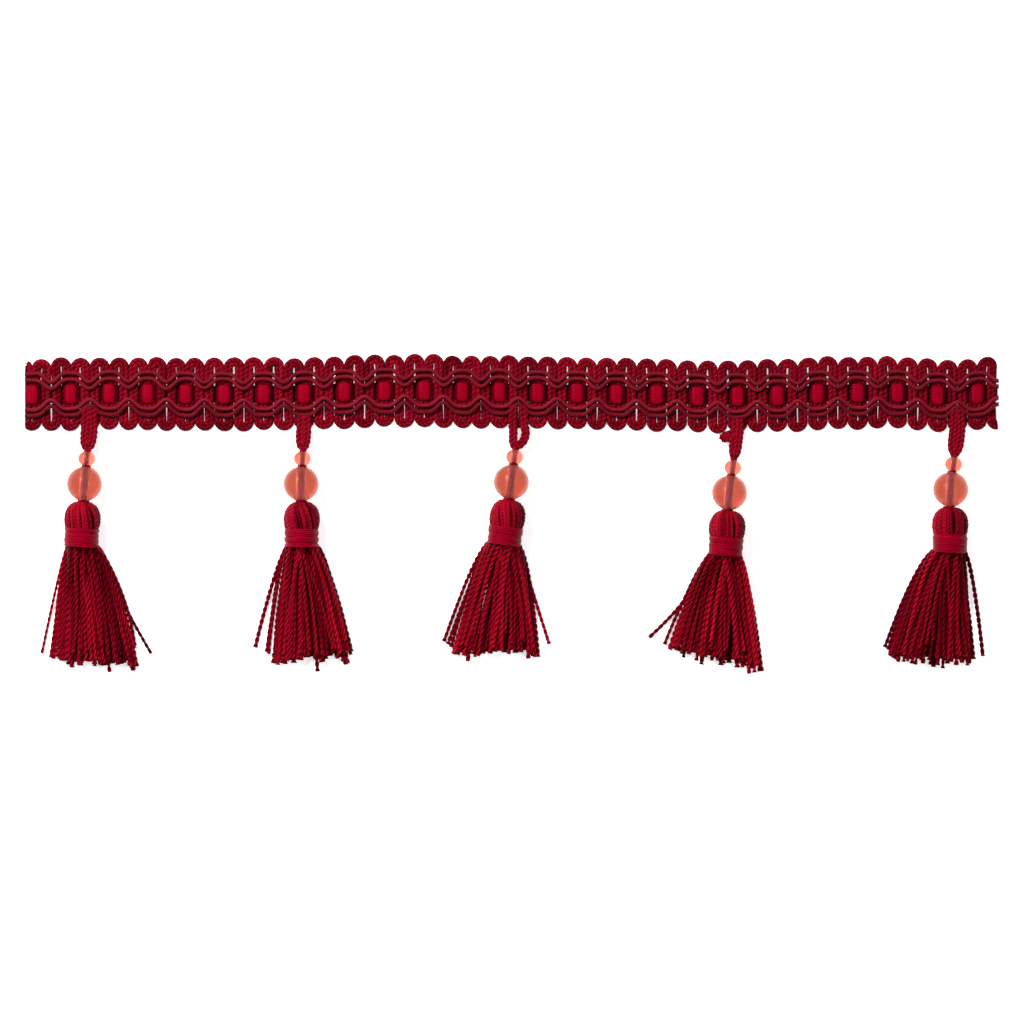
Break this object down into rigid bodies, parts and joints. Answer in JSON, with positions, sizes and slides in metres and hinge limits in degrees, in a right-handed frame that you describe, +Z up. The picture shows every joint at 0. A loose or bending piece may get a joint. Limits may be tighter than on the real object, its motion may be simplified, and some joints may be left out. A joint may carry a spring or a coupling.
{
  "type": "beaded tassel fringe trim",
  "caption": "Furnishing trim: a crimson scroll braid with looped edges, from which beaded tassels with bound necks hang in a row.",
  "frame": {"origin": "middle of the trim's footprint, on the surface it lies on", "axes": "+X along the braid, +Y from the tassels towards the braid, +Z up out of the face of the trim"},
  "size_m": [0.2632, 0.0838, 0.01],
  "materials": {
    "ground_yarn": "glossy twisted viscose cord, deep crimson",
    "satin_floss": "satin floss, bright crimson",
    "scroll_gimp": "smooth wrapped gimp cord, dusty dark red",
    "tassel_yarn": "twisted two-ply yarn with a soft sheen, deep red",
    "binding_thread": "closely wound satin thread, bright crimson",
    "coral_bead": "clear coral acrylic, polished"
  },
  "bodies": {
    "root": {"ground_cord": "ground_yarn", "satin_ribbon": "satin_floss", "scroll_cord_upper_inner": "scroll_gimp", "scroll_cord_upper_outer": "scroll_gimp", "scroll_cord_lower_inner": "scroll_gimp", "scroll_cord_lower_outer": "scroll_gimp", "hanging_loop_1": "ground_yarn", "hanging_loop_2": "ground_yarn", "hanging_loop_3": "ground_yarn", "hanging_loop_4": "ground_yarn", "hanging_loop_5": "ground_yarn", "bead_thread_1": "tassel_yarn", "bead_thread_2": "tassel_yarn", "bead_thread_3": "tassel_yarn", "bead_thread_4": "tassel_yarn", "bead_thread_5": "tassel_yarn", "small_bead_1": "coral_bead", "small_bead_2": "coral_bead", "small_bead_3": "coral_bead", "small_bead_4": "coral_bead", "small_bead_5": "coral_bead", "large_bead_1": "coral_bead", "large_bead_2": "coral_bead", "large_bead_3": "coral_bead", "large_bead_4": "coral_bead", "large_bead_5": "coral_bead", "tassel_1": "tassel_yarn", "tassel_2": "tassel_yarn", "tassel_3": "tassel_yarn", "tassel_4": "tassel_yarn", "tassel_5": "tassel_yarn", "neck_binding_1": "binding_thread", "neck_binding_2": "binding_thread", "neck_binding_3": "binding_thread", "neck_binding_4": "binding_thread", "neck_binding_5": "binding_thread"}
  },
  "joints": []
}
